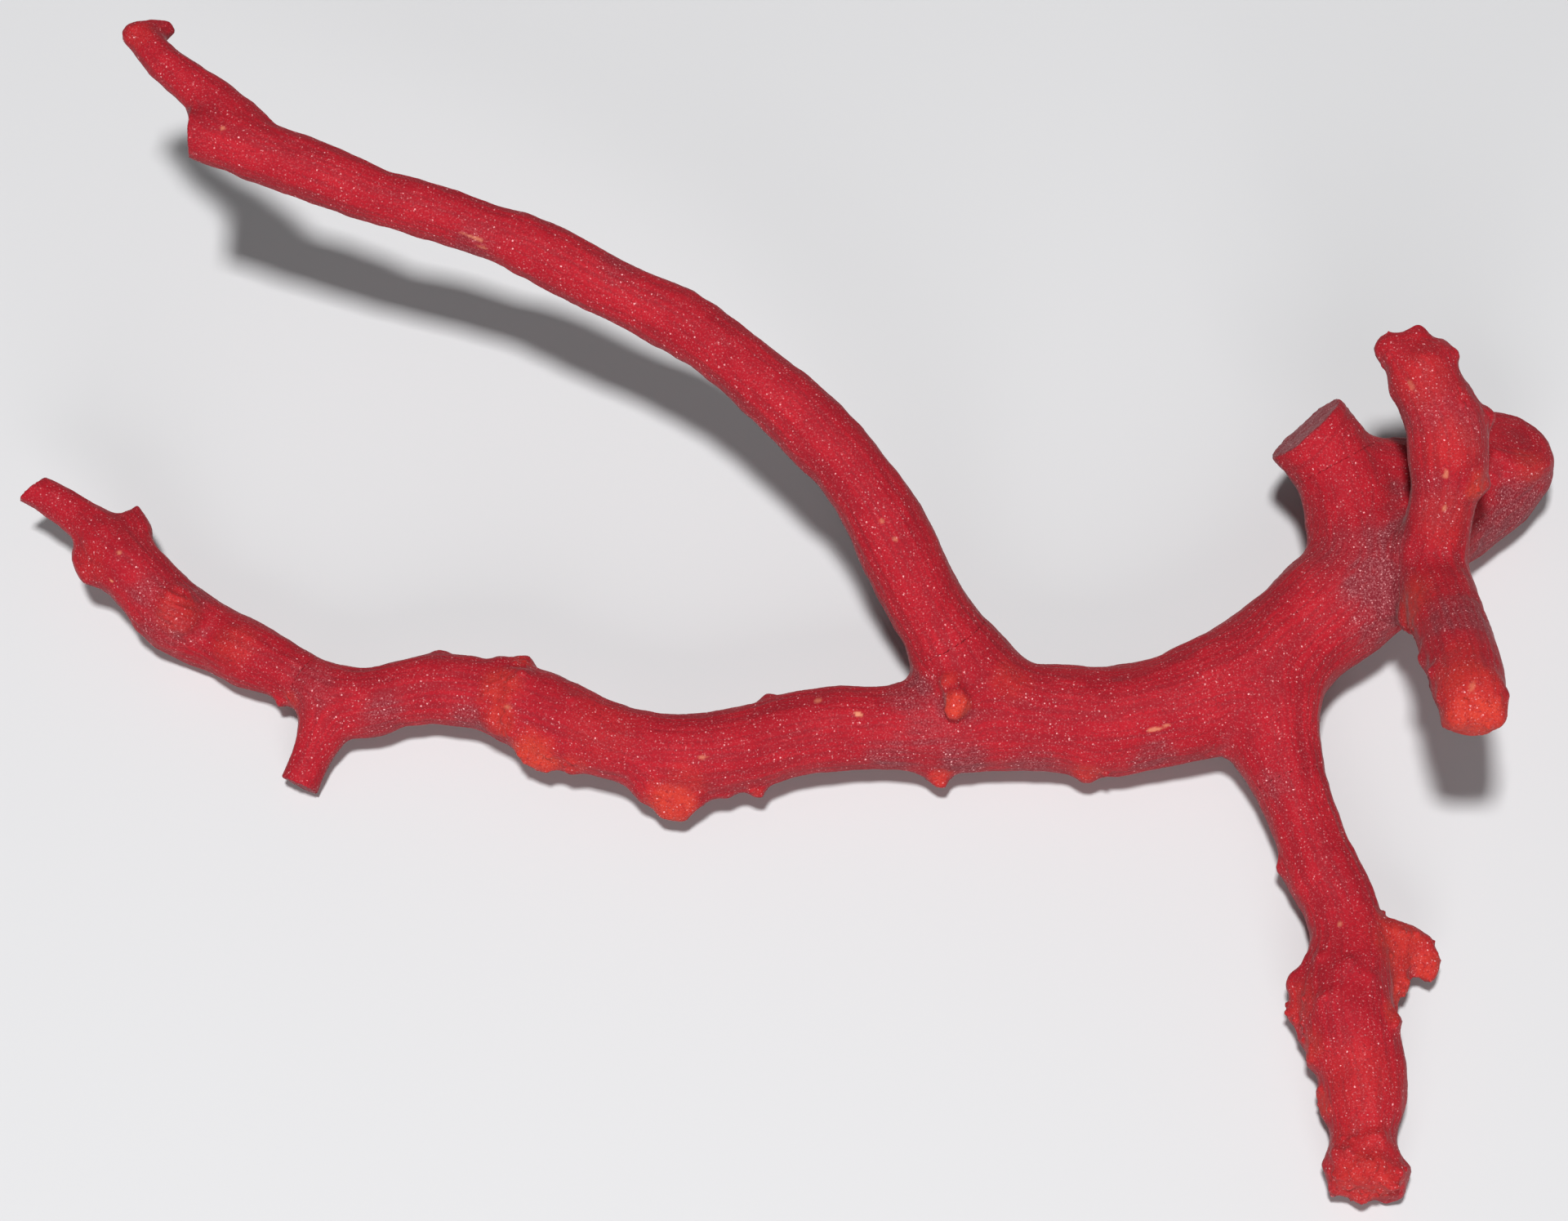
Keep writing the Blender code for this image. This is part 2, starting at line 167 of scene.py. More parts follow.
# Mauve dust: across and down in pixels, reach in mm, and how thick it lies
DUST_PATCHES = (
    (1690, 668, 2.2, 0.7),
    (1686, 715, 2.6, 0.95),
    (1688, 765, 2.2, 0.8),
    (1640, 680, 2.6, 0.3),
    (1785, 750, 2.4, 0.65),
    (1750, 505, 2.0, 0.3),
    (1756, 610, 2.0, 0.3),
    (1891, 596, 1.3, 0.6),
    (1860, 622, 2.8, 0.9),
    (1832, 650, 2.4, 0.9),
    (1118, 850, 1.8, 0.6),
    (1140, 900, 1.8, 0.45),
    (1090, 930, 1.8, 0.6),
    (1180, 932, 2.0, 0.7),
    (1265, 936, 1.8, 0.5),
    (1410, 928, 1.6, 0.5),
    (1558, 965, 1.4, 0.5),
    (200, 770, 2.0, 0.5),
    (182, 725, 1.4, 0.5),
    (242, 726, 1.2, 0.5),
    (378, 838, 2.0, 0.4),
    (470, 878, 1.6, 0.5),
    (570, 878, 1.4, 0.6),
    (580, 302, 1.6, 0.4),
    (760, 325, 1.6, 0.3),
    (1800, 520, 1.6, 0.4),
)

# Pale flecks: across and down in pixels, length and breadth in mm, and how pale
FLECKS = (
    (1414, 893, 1.0, 0.24, 0.6),
    (1428, 888, 0.5, 0.18, 0.5),
    (1050, 874, 0.42, 0.3, 0.85),
    (1002, 858, 0.5, 0.36, 0.4),
    (859, 927, 0.5, 0.22, 0.45),
    (621, 866, 0.5, 0.3, 0.4),
    (1080, 638, 0.35, 0.25, 0.4),
    (1096, 660, 0.3, 0.22, 0.4),
    (581, 291, 1.2, 0.2, 0.5),
    (590, 302, 0.7, 0.16, 0.4),
    (272, 157, 0.3, 0.24, 0.5),
    (1771, 580, 0.6, 0.28, 0.5),
    (1769, 622, 0.42, 0.26, 0.5),
    (1728, 472, 0.7, 0.3, 0.25),
    (136, 711, 0.36, 0.16, 0.8),
    (146, 677, 0.3, 0.24, 0.45),
    # This fleck is painted light that brightens the front arm's top.
    (1803, 841, 0.6, 0.4, 0.3),
    (1640, 1131, 0.34, 0.3, 0.4),
)
FLECK_FADE = (0.6, 1.3)
FLECK_UNEVENNESS = 0.45

# Where the skin is pleated: a place in pixels, another that the pleats follow each other towards, reach in mm
PLEATS = (((214, 742), (206, 762), 1.8),)
PLEAT_SPACING = 0.46 * MM
PLEAT_HEIGHT = 0.06 * MM
PLEAT_FADE = (0.4, 1.0)

# The grid that holds which way each limb runs, how far it is blurred, and what a filled cell holds at least
RUN_CELL = 0.5 * MM
RUN_BLUR_CELLS = 2.0
RUN_BLUR_REACH = 4
RUN_LEAST = 1e-3

# The lines that are followed along the limbs, each way from a place
LINE_STEP = 0.16 * MM
LINE_STEPS = 26

# Noise repeats after this many cells. Each use of it has a seed of its own.
NOISE_TILE = 64
TILE_STRIDES = (NOISE_TILE * NOISE_TILE, NOISE_TILE, 1)
SEED_PATCH, SEED_GROOVE, SEED_SWELL, SEED_LUMP, SEED_PEBBLE, SEED_GRAIN, SEED_FLECK = range(11, 18)

# The mesh of the whole body, how many times it and the skin are smoothed, and how far each time in and out
BODY_VOXEL = 0.22 * MM
BODY_SMOOTHING = 14
SKIN_SMOOTHING = 2
SMOOTHING_IN = 0.5
SMOOTHING_OUT = 0.52

# How broad and how deep a full hollow is, and the sizes of the pebbles and of the grain
HOLLOW_ROUNDS = 40
HOLLOW_DEPTH = 0.10 * MM
PEBBLE_LENGTH = 0.42 * MM
GRAIN_LENGTH = 0.15 * MM

# Lumps on the swells, how many to one and how high beside them, and how the relief changes on crust
LUMPS_PER_SWELL = 2.7
LUMP_HEIGHT = 0.5
ORANGE_PEBBLES = 0.3
CRUST_HIDES_GROOVES = 0.8
CRUMBLY_GRAIN = 2

# How much mauve painted shade lies on the sides and more on the sides that face away from the viewer, how
# much dust and painted shade lies in hollows, how much more in the grooves, and how much the crust hides
SIDE_FADE = (0.5, 1.1)
PAINTED_SIDE_SHADE = 0.42
PAINTED_FAR_SIDE_SHADE = 0.25
HOLLOW_FADE = (0.1, 1)
HOLLOW_DUST_AND_SHADE = 0.8
GROOVE_DUST_AND_SHADE = 0.18
CRUST_HIDES_DUST_AND_SHADE = 0.7

# How far one limb's skin is tucked under the next, and how near two corners are joined
TUCK = 0.04 * MM
MERGE_DISTANCE = 0.001 * MM

# A crumb is a ball of unit width before it gets its size, with its faces split this many times
CRUMB_RADIUS = 0.5
CRUMB_SPLITS = 2

# Clouds in the finish: size, detail, the range of the noise, and the range that it is moved to
PALE_CLOUDS = (2.6 * MM, 3.0, 0.35, 0.7, 0.0, 1.0)
DUST_AND_SHADE_STREAKS = (0.9 * MM, 2.0, 0.25, 0.7, 0.7, 1.15)
DUST_AND_SHADE_POWDER = (0.11 * MM, 2.0, 0.48, 0.68, 0.0, 1.0)
ORANGE_BLOTCHES = (0.45 * MM, 2.0, 0.3, 0.65, 0.6, 1.0)
PALE_SPECKLE = (0.10 * MM, 1.0, 0.55, 0.75, 0.0, 0.12)
# Dark speckle: painted shade of tiny pits.
PAINTED_PIT_SHADE = (0.13 * MM, 1.0, 0.45, 0.28, 0.0, 0.6)
ROUGHNESS = (0.3 * MM, 2.0, 0.3, 0.7, 0.6, 0.85)

# How deep a groove has to be to get painted shade, how deep it is where the painted shade is darkest, and how
# dark that is
GROOVE_SHADE = (0.1, -0.9, 0.0, 0.42)

# The most that the dust and painted shade hide of the red under it
DUST_AND_SHADE_MOST = 0.92

# Pale grains: their spacing, their size as a share of it, and how many show. Then how strongly they show.
SMALL_GRAINS = (0.19 * MM, 0.26, 0.6)
SMALL_GRAIN_SHARE = 0.46
BRIGHT_GRAINS = (0.36 * MM, 0.17, 0.5)
BRIGHT_GRAIN_SHARE = 0.9
SHAKES_PER_SPACING = 3
GRAIN_CORE = 0.65
GRAINS_IN_DUST_AND_SHADE = 0.45

# How shiny the coral is, and its fine bumps
SHINE = 0.12
SHEEN = 0.07
SHEEN_ROUGHNESS = 0.4
BUMP_SIZE = 0.08 * MM
BUMP_DETAIL = 3.0
BUMP_STRENGTH = 0.4
BUMP_HEIGHT = 0.03 * MM


class TwigSkin(bpy.types.PropertyGroup):
    closing: FloatProperty(
        name="Gap closing", description="How far the solids swell to close the gaps at the forks",
        default=0.22 * MM, unit="LENGTH",
    )
    voxel: FloatProperty(
        name="Mesh size", description="Length of the skin's mesh edges", default=0.11 * MM, unit="LENGTH",
    )
    groove_depth: FloatProperty(
        name="Groove depth", description="Depth of the fine lengthwise grooves",
        default=0.020 * MM, unit="LENGTH",
    )
    groove_width: FloatProperty(
        name="Groove width", description="Size of the noise that is drawn out into grooves",
        default=0.145 * MM, unit="LENGTH",
    )
    swell_height: FloatProperty(
        name="Swell height", description="Height of the broad uneven swells",
        default=0.09 * MM, unit="LENGTH",
    )
    swell_length: FloatProperty(
        name="Swell length", description="Distance from one swell to the next",
        default=2.2 * MM, unit="LENGTH",
    )
    grain_height: FloatProperty(
        name="Grain height", description="Height of the chalky grain", default=0.010 * MM, unit="LENGTH",
    )
    pebble_height: FloatProperty(
        name="Pebble height", description="Height of the pebbly relief on crusted patches",
        default=0.07 * MM, unit="LENGTH",
    )
    crust_thickness: FloatProperty(
        name="Crust thickness", description="How far crusted patches stand up",
        default=0.07 * MM, unit="LENGTH",
    )


class TwigCrust(bpy.types.PropertyGroup):
    crumbs_per_mm2: FloatProperty(
        name="Crumbs per square mm", description="How many crumbs a fully crumbly patch carries", default=4.0,
    )
    smallest: FloatProperty(
        name="Smallest crumb", description="Width of the smallest crumbs", default=0.16 * MM, unit="LENGTH",
    )
    largest: FloatProperty(
        name="Largest crumb", description="Width of the largest crumbs", default=0.46 * MM, unit="LENGTH",
    )
    seed: IntProperty(name="Seed", description="Chooses where the crumbs fall", default=7)


class TwigColours(bpy.types.PropertyGroup):
    red: FloatVectorProperty(
        name="Red", description="The coral's deep red", subtype="COLOR", size=4,
        default=(0.342, 0.0074, 0.0170, 1.0),
    )
    pale_red: FloatVectorProperty(
        name="Pale red", description="The lighter clouds in the red", subtype="COLOR", size=4,
        default=(0.420, 0.0110, 0.0210, 1.0),
    )
    # This darker red is painted shade in the grooves and the pleats, and in the dark pit speckle.
    groove: FloatVectorProperty(
        name="Groove", description="The darker red in the grooves", subtype="COLOR", size=4,
        default=(0.205, 0.0110, 0.0190, 1.0),
    )
    # This mauve colour is dust in the patches and on broken ends, painted shade on the sides, and dust with
    # painted shade in the hollows.
    dust: FloatVectorProperty(
        name="Dust", description="The mauve dust on sides and in hollows", subtype="COLOR", size=4,
        default=(0.180, 0.0155, 0.0245, 1.0),
    )
    # The paler powder mixed into the mauve dust and painted shade.
    pale_dust_and_shade: FloatVectorProperty(
        name="Pale dust", description="The paler grains in the dust", subtype="COLOR", size=4,
        default=(0.355, 0.0990, 0.1130, 1.0),
    )
    orange: FloatVectorProperty(
        name="Orange", description="The dried crust", subtype="COLOR", size=4,
        default=(0.545, 0.0400, 0.0240, 1.0),
    )
    grain: FloatVectorProperty(
        name="Grain", description="The tiny pale grains", subtype="COLOR", size=4,
        default=(0.880, 0.4200, 0.4300, 1.0),
    )
    fleck: FloatVectorProperty(
        name="Fleck", description="The larger pale flecks", subtype="COLOR", size=4,
        default=(0.700, 0.2700, 0.1500, 1.0),
    )


class TwigStudio(bpy.types.PropertyGroup):
    floor: FloatVectorProperty(
        name="Floor", description="The pale floor", subtype="COLOR", size=4, default=(0.64, 0.64, 0.65, 1.0),
    )
    key_power: FloatProperty(
        name="Key light", description="Power of the key light", default=3.05, unit="POWER",
    )
    key_size: FloatProperty(
        name="Key size", description="Width of the key light", default=0.05, unit="LENGTH",
    )
    key_distance: FloatProperty(
        name="Key distance", description="From the twig to the key light", default=0.55, unit="LENGTH",
    )
    front_power: FloatProperty(
        name="Front light", description="Power of the wide light near the viewer", default=1.6, unit="POWER",
    )
    front_size: FloatProperty(
        name="Front size", description="Width of the front light", default=0.35, unit="LENGTH",
    )
    front_distance: FloatProperty(
        name="Front distance", description="From the twig to the front light", default=0.6, unit="LENGTH",
    )
    fill: FloatProperty(name="Fill", description="Strength of the light from all round", default=0.08)


def lens_axes():
    """The way that the lens looks, and the way that is up in the picture."""
    forward = Vector((0, math.cos(LENS_ELEVATION), -math.sin(LENS_ELEVATION)))
    up = Vector((0, math.sin(LENS_ELEVATION), math.cos(LENS_ELEVATION)))
    return forward, up


def lens_place():
    """Where the lens is."""
    return PICTURE_SPOT - lens_axes()[0] * LENS_DISTANCE


def seen_on(tree, across, down):
    """The place on the surface that shows at a pixel of the picture."""
    forward, up = lens_axes()
    right_shift = (across - PICTURE_WIDTH_PX / 2) / PIXELS_PER_MM * MM
    up_shift = (PICTURE_HEIGHT_PX / 2 - down) / PIXELS_PER_MM * MM
    ray = forward * LENS_DISTANCE + Vector((right_shift, 0, 0)) + up * up_shift
    hit = tree.ray_cast(lens_place(), ray)[0]
    if hit is None:
        raise RuntimeError(f"nothing of the twig shows at pixel {across}, {down}")
    return np.array(hit)


def places_of(mesh):
    """The mesh's corners as an array."""
    flat = np.empty(len(mesh.vertices) * 3, np.float32)
    mesh.vertices.foreach_get("co", flat)
    return flat.reshape(-1, 3).astype(float)


def move_to(mesh, places):
    """Sets the mesh's corners."""
    mesh.vertices.foreach_set("co", places.astype(np.float32).ravel())
    mesh.update()


def normals_of(mesh):
    """The mesh's normals at its corners."""
    flat = np.empty(len(mesh.vertices) * 3, np.float32)
    mesh.vertex_normals.foreach_get("vector", flat)
    return flat.reshape(-1, 3).astype(float)


def set_attribute(mesh, name, values):
    """Stores one number for each corner of the mesh."""
    attribute = mesh.attributes.get(name) or mesh.attributes.new(name, "FLOAT", "POINT")
    attribute.data.foreach_set("value", values.astype(np.float32))


def attribute_of(mesh, name):
    """The stored number of each corner of the mesh."""
    values = np.empty(len(mesh.vertices), np.float32)
    mesh.attributes[name].data.foreach_get("value", values)
    return values


def tree_of(mesh):
    """A search tree of the mesh's faces."""
    bm = bmesh.new()
    bm.from_mesh(mesh)
    tree = BVHTree.FromBMesh(bm)
    bm.free()
    return tree


def smooth_step(low, high, values):
    """0 below low, 1 above high, and an even change between them."""
    share = np.clip((values - low) / (high - low), 0, 1)
    return share * share * (3 - 2 * share)


def neighbour_mean(mesh):
    """A function that gives each corner the mean of its neighbours' values."""
    ends = np.empty(len(mesh.edges) * 2, np.int32)
    mesh.edges.foreach_get("vertices", ends)
    ends = ends.reshape(-1, 2)
    both = np.concatenate([ends, ends[:, ::-1]])
    both = both[np.argsort(both[:, 0], kind="stable")]
    starts = np.searchsorted(both[:, 0], np.arange(len(mesh.vertices)))
    counts = np.diff(np.append(starts, len(both)))[:, None]

    def mean(values):
        return np.add.reduceat(values[both[:, 1]], starts, axis=0) / counts

    return mean


def relaxed(mesh, rounds, free=1.0, swell=SMOOTHING_OUT):
    """The mesh's corners, smoothed without shrinking unless swell is 0. Where free is 0 they stay."""
    mean = neighbour_mean(mesh)
    places = places_of(mesh)
    for _ in range(rounds):
        places = places + SMOOTHING_IN * free * (mean(places) - places)
        places = places - swell * free * (mean(places) - places)
    return places


def tile_noise(seed):
    """A repeating block of random numbers from -1 to 1."""
    return np.random.default_rng(seed).uniform(-1, 1, NOISE_TILE**3).astype(np.float32)


def noise_at(tile, places, size):
    """Smooth noise at places, with cells of a size."""
    grid = (places / size).astype(np.float32)
    low = np.floor(grid)
    share = grid - low
    share *= share * (3 - 2 * share)
    low = low.astype(np.int32)
    near = (low % NOISE_TILE * TILE_STRIDES).T
    far = ((low + 1) % NOISE_TILE * TILE_STRIDES).T
    across, along, up = share.T

    def line(first, second):
        start = tile[first + second + near[2]]
        return start + (tile[first + second + far[2]] - start) * up

    def sheet(first):
        start = line(first, near[1])
        return start + (line(first, far[1]) - start) * along

    start = sheet(near[0])
    return start + (sheet(far[0]) - start) * across


def seeded_noise(seed, places, size):
    """Smooth noise of one seed at places."""
    return noise_at(tile_noise(seed), places, size)


def held(mesh):
    """A mesh on an object of its own, ready for a modifier."""
    holder = bpy.data.objects.new("holder", mesh)
    bpy.context.scene.collection.objects.link(holder)
    return holder


def taken_from(holder):
    """An object's evaluated mesh. The object goes."""
    bpy.context.view_layer.update()
    result = bpy.data.meshes.new_from_object(holder.evaluated_get(bpy.context.evaluated_depsgraph_get()))
    bpy.data.objects.remove(holder)
    return result


def fused(mesh, voxel):
    """The shapes in a mesh as one skin of even quads."""
    holder = held(mesh)
    modifier = holder.modifiers.new("fuse", "REMESH")
    modifier.mode = "VOXEL"
    modifier.voxel_size = voxel
    return taken_from(holder)


def solid_copy(names):
    """The named solids in one bmesh, with their loose triangles joined."""
    bm = bmesh.new()
    for name in names:
        bm.from_mesh(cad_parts[name].data)
    bmesh.ops.remove_doubles(bm, verts=bm.verts, dist=MERGE_DISTANCE)
    bm.normal_update()
    return bm


class BrokenEnd:
    """The flat broken end of a limb: its middle, its normal, its reach and points along its rim."""

    def __init__(self, name, spot):
        limb = solid_copy([name])
        faces = list(limb.faces)
        normals = np.array([face.normal for face in faces])
        middles = np.array([face.calc_center_median() for face in faces])
        areas = np.array([face.calc_area() for face in faces])
        best = 0
        for index in np.flatnonzero(np.linalg.norm(middles - spot, axis=1) < END_REACH):
            level = np.abs((middles - middles[index]) @ normals[index]) < FLATNESS
            flat = level & (normals @ normals[index] > 1 - FLAT_TURN)
            if areas[flat].sum() > best:
                best = areas[flat].sum()
                self.normal = normals[index]
                group = {faces[number] for number in np.flatnonzero(flat)}
        edges = {edge for face in group for edge in face.edges if len(group & set(edge.link_faces)) == 1}
        ends = np.array([[vert.co for vert in edge.verts] for edge in edges])
        self.rim = np.concatenate([ends.reshape(-1, 3), ends.mean(axis=1)])
        self.middle = self.rim.mean(axis=0)
        self.reach = np.linalg.norm(self.rim - self.middle, axis=1).max()
        limb.free()

    def share(self, places, normals):
        """1 on the broken face, and 0 off it."""
        offset = places - self.middle
        level = 1 - smooth_step(*BREAK_FADE, np.abs(offset @ self.normal))
        near = np.linalg.norm(offset, axis=1) < self.reach
        return level * near * smooth_step(*BREAK_TURN, normals @ self.normal)


def free_of_rims(places, ends):
    """1 far from every sharp rim, and 0 on one."""
    points = [point for end in ends for point in end.rim]
    tree = KDTree(len(points))
    for index, point in enumerate(points):
        tree.insert(point, index)
    tree.balance()
    distance = np.array([tree.find(place)[2] for place in places])
    return smooth_step(RIM_HELD, RIM_FREE, distance)[:, None]


def grown_body(closing):
    """The solids swollen until the gaps at the forks close, fused, let back in and smoothed.

    The broken ends come with it.
    """
    bm = solid_copy(LIMBS)
    for vert, normal in [(vert, vert.normal.copy()) for vert in bm.verts]:
        vert.co += normal * closing
    swollen = bpy.data.meshes.new("swollen")
    bm.to_mesh(swollen)
    bm.free()
    body = fused(swollen, BODY_VOXEL)
    tree = tree_of(body)
    ends = [BrokenEnd(name, seen_on(tree, across, down)) for name, across, down in BROKEN_ENDS]
    free = free_of_rims(places_of(body), ends)
    move_to(body, places_of(body) - normals_of(body) * closing)
    move_to(body, relaxed(body, BODY_SMOOTHING, free))
    spots = [(seen_on(tree, across, down), reach * MM) for across, down, reach, _ in SMOOTH_SPOTS]
    share = patch_share(places_of(body), spots, [spot[3] for spot in SMOOTH_SPOTS])[:, None]
    move_to(body, relaxed(body, SPOT_SMOOTHING, share, swell=0.0))
    return body, ends


def patch_share(places, patches, strengths):
    """How strongly each place is covered by round patches with uneven edges."""
    shift = seeded_noise(SEED_PATCH, places, PATCH_EDGE_LENGTH) * PATCH_EDGE_SHIFT
    covered = np.zeros(len(places))
    for (middle, reach), strength in zip(patches, strengths):
        distance = np.linalg.norm(places - middle, axis=1) + shift
        share = 1 - smooth_step(PATCH_FADE[0] * reach, PATCH_FADE[1] * reach, distance)
        covered = np.maximum(covered, share * strength)
    return covered


def crust_shares(places, tree):
    """How crumbly and how orange each place is."""
    patches = [(seen_on(tree, across, down), reach * MM) for across, down, reach, *_ in CRUST_PATCHES]
    crumbly = patch_share(places, patches, [patch[3] for patch in CRUST_PATCHES])
    orange = patch_share(places, patches, [patch[4] for patch in CRUST_PATCHES])
    return crumbly, orange


def dust_share(places, tree):
    """How thick the dust patches lie at each place."""
    patches = [(seen_on(tree, across, down), reach * MM) for across, down, reach, _ in DUST_PATCHES]
    return patch_share(places, patches, [patch[3] for patch in DUST_PATCHES])


def fleck_share(places, tree, runs):
    """How pale each place is: small flecks that lie along the limb."""
    shift = 1 + FLECK_UNEVENNESS * seeded_noise(SEED_FLECK, places, GRAIN_LENGTH)
    pale = np.zeros(len(places))
    for across, down, length, breadth, strength in FLECKS:
        middle = seen_on(tree, across, down)
        offset = places - middle
        along = offset @ runs.at(middle[None])[0]
        aside = np.sqrt(np.maximum((offset**2).sum(1) - along**2, 0))
        distance = np.hypot(along / (length * MM / 2), aside / (breadth * MM / 2)) * shift
        pale = np.maximum(pale, strength * (1 - smooth_step(*FLECK_FADE, distance)))
    return pale


def pleat_heights(places, tree):
    """Low pleats across a limb."""
    heights = np.zeros(len(places))
    for first, second, reach in PLEATS:
        middle = seen_on(tree, *first)
        heading = seen_on(tree, *second) - middle
        offset = places - middle
        share = 1 - smooth_step(*PLEAT_FADE, np.linalg.norm(offset, axis=1) / (reach * MM))
        phase = offset @ heading / np.linalg.norm(heading) / PLEAT_SPACING
        heights += np.cos(phase * math.tau) * PLEAT_HEIGHT * share
    return heights


def crumb_tree(material):
    """Geometry nodes that scatter crumbs over a surface where its crumbly attribute says so."""
    tree = bpy.data.node_groups.new("scatter crumbs", "GeometryNodeTree")
    tree.interface.new_socket("Geometry", in_out="INPUT", socket_type="NodeSocketGeometry")
    for name, kind in (("Density", "Float"), ("Smallest", "Vector"), ("Largest", "Vector"), ("Seed", "Int")):
        tree.interface.new_socket(name, in_out="INPUT", socket_type=f"NodeSocket{kind}")
    tree.interface.new_socket("Geometry", in_out="OUTPUT", socket_type="NodeSocketGeometry")
    add, link = tree.nodes.new, tree.links.new
    given, result = add("NodeGroupInput"), add("NodeGroupOutput")
    crumbly = add("GeometryNodeInputNamedAttribute")
    crumbly.inputs["Name"].default_value = "crumbly"
    density = add("ShaderNodeMath")
    density.operation = "MULTIPLY"
    link(crumbly.outputs["Attribute"], density.inputs[0])
    link(given.outputs["Density"], density.inputs[1])
    scatter = add("GeometryNodeDistributePointsOnFaces")
    link(given.outputs["Geometry"], scatter.inputs["Mesh"])
    link(density.outputs["Value"], scatter.inputs["Density"])
    link(given.outputs["Seed"], scatter.inputs["Seed"])
    crumb = add("GeometryNodeMeshIcoSphere")
    crumb.inputs["Radius"].default_value = CRUMB_RADIUS
    crumb.inputs["Subdivisions"].default_value = CRUMB_SPLITS
    size = add("FunctionNodeRandomValue")
    size.data_type = "FLOAT_VECTOR"
    link(given.outputs["Smallest"], size.inputs["Min"])
    link(given.outputs["Largest"], size.inputs["Max"])
    link(given.outputs["Seed"], size.inputs["Seed"])
    place = add("GeometryNodeInstanceOnPoints")
    link(scatter.outputs["Points"], place.inputs["Points"])
    link(scatter.outputs["Rotation"], place.inputs["Rotation"])
    link(crumb.outputs["Mesh"], place.inputs["Instance"])
    link(size.outputs["Value"], place.inputs["Scale"])
    join = add("GeometryNodeJoinGeometry")
    link(given.outputs["Geometry"], join.inputs["Geometry"])
    link(place.outputs["Instances"], join.inputs["Geometry"])
    real = add("GeometryNodeRealizeInstances")
    link(join.outputs["Geometry"], real.inputs["Geometry"])
    finish = add("GeometryNodeSetMaterial")
    finish.inputs["Material"].default_value = material
    link(real.outputs["Geometry"], finish.inputs["Geometry"])
    link(finish.outputs["Geometry"], result.inputs["Geometry"])
    return tree


def with_crumbs(body, crust, material):
    """The body with crumbs scattered over its crumbly patches."""
    holder = held(body)
    modifier = holder.modifiers.new("crumbs", "NODES")
    tree = crumb_tree(material)
    modifier.node_group = tree
    values = {
        "Density": crust.crumbs_per_mm2 / MM**2,
        "Smallest": (crust.smallest,) * 3,
        "Largest": (crust.largest,) * 3,
        "Seed": crust.seed,
    }
    for socket in tree.interface.items_tree:
        if socket.in_out == "INPUT" and socket.name in values:
            modifier[socket.identifier] = values[socket.name]
    return taken_from(holder)


class LimbRuns:
    """Which way the limbs run, on a grid: the way along which the surface's normals change least."""

    def __init__(self, places, normals):
        self.low = places.min(0) - RUN_BLUR_REACH * RUN_CELL
        shape = np.ceil((places.max(0) - self.low) / RUN_CELL).astype(int) + RUN_BLUR_REACH + 1
        cells = tuple(((places - self.low) / RUN_CELL).astype(int).T)
        spread = np.zeros((*shape, 3, 3), np.float32)
        np.add.at(spread, cells, normals[:, :, None] * normals[:, None, :])
        spread = self.blurred(spread)
        filled = np.trace(spread, axis1=3, axis2=4) > RUN_LEAST
        self.ways = np.zeros((*shape, 3))
        self.ways[filled] = np.linalg.eigh(spread[filled])[1][:, :, 0]
        self.top = shape - 1

    @staticmethod
    def blurred(spread):
        """The grid blurred along each of its three axes."""
        for axis in range(3):
            total = np.zeros_like(spread)
            for step in range(-RUN_BLUR_REACH, RUN_BLUR_REACH + 1):
                total += math.exp(-0.5 * (step / RUN_BLUR_CELLS) ** 2) * np.roll(spread, step, axis)
            spread = total
        return spread

    def at(self, places):
        """The way that the limb runs at places."""
        cells = np.clip(((places - self.low) / RUN_CELL).astype(int), 0, self.top)
        return self.ways[cells[:, 0], cells[:, 1], cells[:, 2]]


def drawn_out(places, runs, size):
    """Noise drawn out along the limbs, which makes fine streaks: about -1 to 1."""
    tile = tile_noise(SEED_GROOVE)
    total = noise_at(tile, places, size)
    for side in (1, -1):
        here = places.copy()
        heading = runs.at(places) * side
        for _ in range(LINE_STEPS):
            here = here + heading * LINE_STEP
            total += noise_at(tile, here, size)
            way = runs.at(here)
            heading = way * np.where((way * heading).sum(1) < 0, -1, 1)[:, None]
    return np.tanh(total / total.std())


def hollows(mesh):
    """How deep each place lies in a hollow: 0 to 1."""
    mean = neighbour_mean(mesh)
    places = places_of(mesh)
    broad = places
    for _ in range(HOLLOW_ROUNDS):
        broad = mean(broad)
    return np.clip(((broad - places) * normals_of(mesh)).sum(1) / HOLLOW_DEPTH, 0, 1)


def relief(places, skin, crumbly, orange, grooves, pleats):
    """How far the skin's fine relief stands out at each place."""
    swells = seeded_noise(SEED_SWELL, places, skin.swell_length)
    lumps = seeded_noise(SEED_LUMP, places, skin.swell_length / LUMPS_PER_SWELL)
    pebbles = seeded_noise(SEED_PEBBLE, places, PEBBLE_LENGTH)
    grain = seeded_noise(SEED_GRAIN, places, GRAIN_LENGTH)
    crusted = np.maximum(crumbly, ORANGE_PEBBLES * orange)
    height = (swells + LUMP_HEIGHT * lumps) * skin.swell_height
    height += grooves * skin.groove_depth * (1 - CRUST_HIDES_GROOVES * crusted)
    height += pebbles * skin.pebble_height * crusted
    height += skin.crust_thickness * orange
    height += grain * skin.grain_height * (1 + CRUMBLY_GRAIN * crumbly)
    return height + pleats


def dust_and_shade_depth(normals, hollow, dusty, crusted, grooves):
    """How much dust and painted shade lie at each place: painted shade on the sides, dust and painted shade
    in hollows, dust in patches, and more of the side shade and the patch dust in the grooves.
    """
    painted_side_shade = smooth_step(*SIDE_FADE, 1 - normals[:, 2]) * (PAINTED_SIDE_SHADE + PAINTED_FAR_SIDE_SHADE * normals[:, 1])
    depth = painted_side_shade + HOLLOW_DUST_AND_SHADE * smooth_step(*HOLLOW_FADE, hollow) + dusty
    depth -= GROOVE_DUST_AND_SHADE * grooves * (painted_side_shade + dusty)
    return np.clip(depth, 0, 1) * (1 - CRUST_HIDES_DUST_AND_SHADE * crusted)


